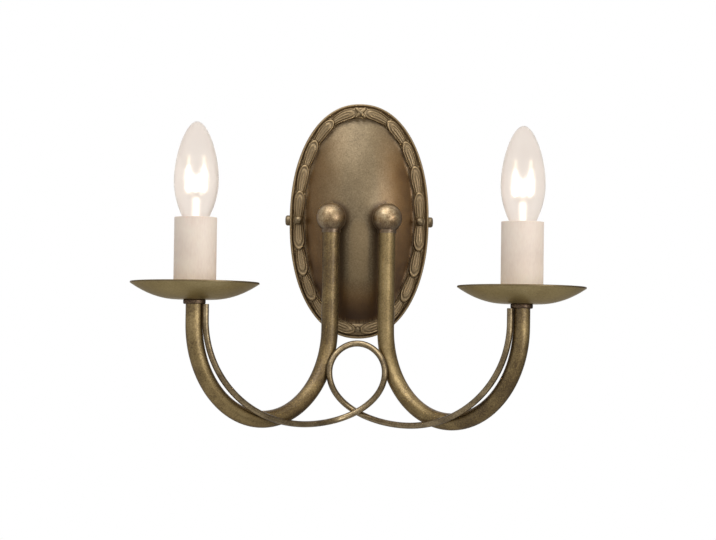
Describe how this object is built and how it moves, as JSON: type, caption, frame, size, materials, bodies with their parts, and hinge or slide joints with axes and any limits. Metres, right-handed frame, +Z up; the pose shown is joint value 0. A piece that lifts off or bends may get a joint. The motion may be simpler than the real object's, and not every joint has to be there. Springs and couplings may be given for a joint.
{
  "type": "wall lamp",
  "caption": "Wall light with an oval leaf-bordered bronze plate, curved tube arms ending in drip pans, candle tubes and candle bulbs, and a looped rod that joins the arms.",
  "frame": {"origin": "middle of the wall bracket's back face, on the wall", "axes": "+X to the right as seen from the room, +Y into the wall, +Z up"},
  "size_m": [0.3556, 0.194, 0.265],
  "materials": {
    "aged_bronze_plate": "aged bronze, satin, mottled",
    "aged_bronze_tube": "aged bronze, satin, mottled",
    "aged_bronze_pan": "aged bronze, satin",
    "ivory_candle": "satin ivory",
    "clear_glass": "clear, polished",
    "hot_filament": "glowing",
    "nickel_wire": "drawn wire",
    "bulb_cap_brass": "rolled, satin",
    "bright_brass": "turned, satin",
    "solder": "tinned",
    "black_glass": "moulded, glossy",
    "white_plastic": "moulded, satin",
    "flex_sleeve": "woven sleeve, matt",
    "zinc_plated_steel": "zinc plated"
  },
  "bodies": {
    "lamp": {"wall_bracket": "zinc_plated_steel", "earth_screw": "bright_brass", "backplate": "aged_bronze_plate", "terminal_block": "white_plastic", "terminal_clamps": "bright_brass", "terminal_screws": "zinc_plated_steel", "block_fixings": "zinc_plated_steel", "scroll_rod": "aged_bronze_tube", "left_ball": "aged_bronze_tube", "left_ball_seat": "aged_bronze_plate", "left_ball_nipple": "bright_brass", "left_lock_washer": "zinc_plated_steel", "left_ball_nut": "bright_brass", "left_arm": "aged_bronze_tube", "left_flex": "flex_sleeve", "left_collar": "aged_bronze_tube", "left_cup_nipple": "bright_brass", "left_drip_pan": "aged_bronze_pan", "left_holder_base": "white_plastic", "left_holder_body": "white_plastic", "left_thread_sleeve": "bright_brass", "left_centre_contact": "bright_brass", "left_holder_terminals": "bright_brass", "right_ball": "aged_bronze_tube", "right_ball_seat": "aged_bronze_plate", "right_ball_nipple": "bright_brass", "right_lock_washer": "zinc_plated_steel", "right_ball_nut": "bright_brass", "right_arm": "aged_bronze_tube", "right_flex": "flex_sleeve", "right_collar": "aged_bronze_tube", "right_cup_nipple": "bright_brass", "right_drip_pan": "aged_bronze_pan", "right_holder_base": "white_plastic", "right_holder_body": "white_plastic", "right_thread_sleeve": "bright_brass", "right_centre_contact": "bright_brass", "right_holder_terminals": "bright_brass"},
    "left_candle": {"left_candle_tube": "ivory_candle"},
    "left_bulb_foot": {"left_bulb_insulator": "black_glass", "left_bulb_contact": "solder"},
    "left_bulb": {"left_bulb_glass": "clear_glass", "left_bulb_cap": "bulb_cap_brass", "left_bulb_stem": "clear_glass", "left_bulb_leads": "nickel_wire", "left_filament": "hot_filament"},
    "left_screw": {"left_side_screw": "aged_bronze_tube"},
    "right_candle": {"right_candle_tube": "ivory_candle"},
    "right_bulb_foot": {"right_bulb_insulator": "black_glass", "right_bulb_contact": "solder"},
    "right_bulb": {"right_bulb_glass": "clear_glass", "right_bulb_cap": "bulb_cap_brass", "right_bulb_stem": "clear_glass", "right_bulb_leads": "nickel_wire", "right_filament": "hot_filament"},
    "right_screw": {"right_side_screw": "aged_bronze_tube"}
  },
  "joints": [
    {"name": "left_candle_tube_lift", "type": "slide", "parent": "lamp", "child": "left_candle", "axis": [0, 0, 1], "range_m": [0, 0.01]},
    {"name": "left_bulb_rise", "type": "slide", "parent": "lamp", "child": "left_bulb_foot", "axis": [0, 0, 1], "range_m": [0, 0.01411]},
    {"name": "left_bulb_turn", "type": "hinge", "parent": "left_bulb_foot", "child": "left_bulb", "pos_m": [-0.12725, -0.14355, 0], "axis": [0, 0, 1], "range_deg": [0, 1800]},
    {"name": "left_side_screw_out", "type": "slide", "parent": "lamp", "child": "left_screw", "axis": [-1, 0, 0], "range_m": [0, 0.008]},
    {"name": "right_candle_tube_lift", "type": "slide", "parent": "lamp", "child": "right_candle", "axis": [0, 0, 1], "range_m": [0, 0.01]},
    {"name": "right_bulb_rise", "type": "slide", "parent": "lamp", "child": "right_bulb_foot", "axis": [0, 0, 1], "range_m": [0, 0.01411]},
    {"name": "right_bulb_turn", "type": "hinge", "parent": "right_bulb_foot", "child": "right_bulb", "pos_m": [0.12725, -0.14355, 0], "axis": [0, 0, 1], "range_deg": [0, 1800]},
    {"name": "right_side_screw_out", "type": "slide", "parent": "lamp", "child": "right_screw", "axis": [1, 0, 0], "range_m": [0, 0.008]}
  ],
  "couplings": [
    {"joint": "left_bulb_rise", "follows": "left_bulb_turn", "m_per_rad": 0.00044882},
    {"joint": "right_bulb_rise", "follows": "right_bulb_turn", "m_per_rad": 0.00044882}
  ]
}
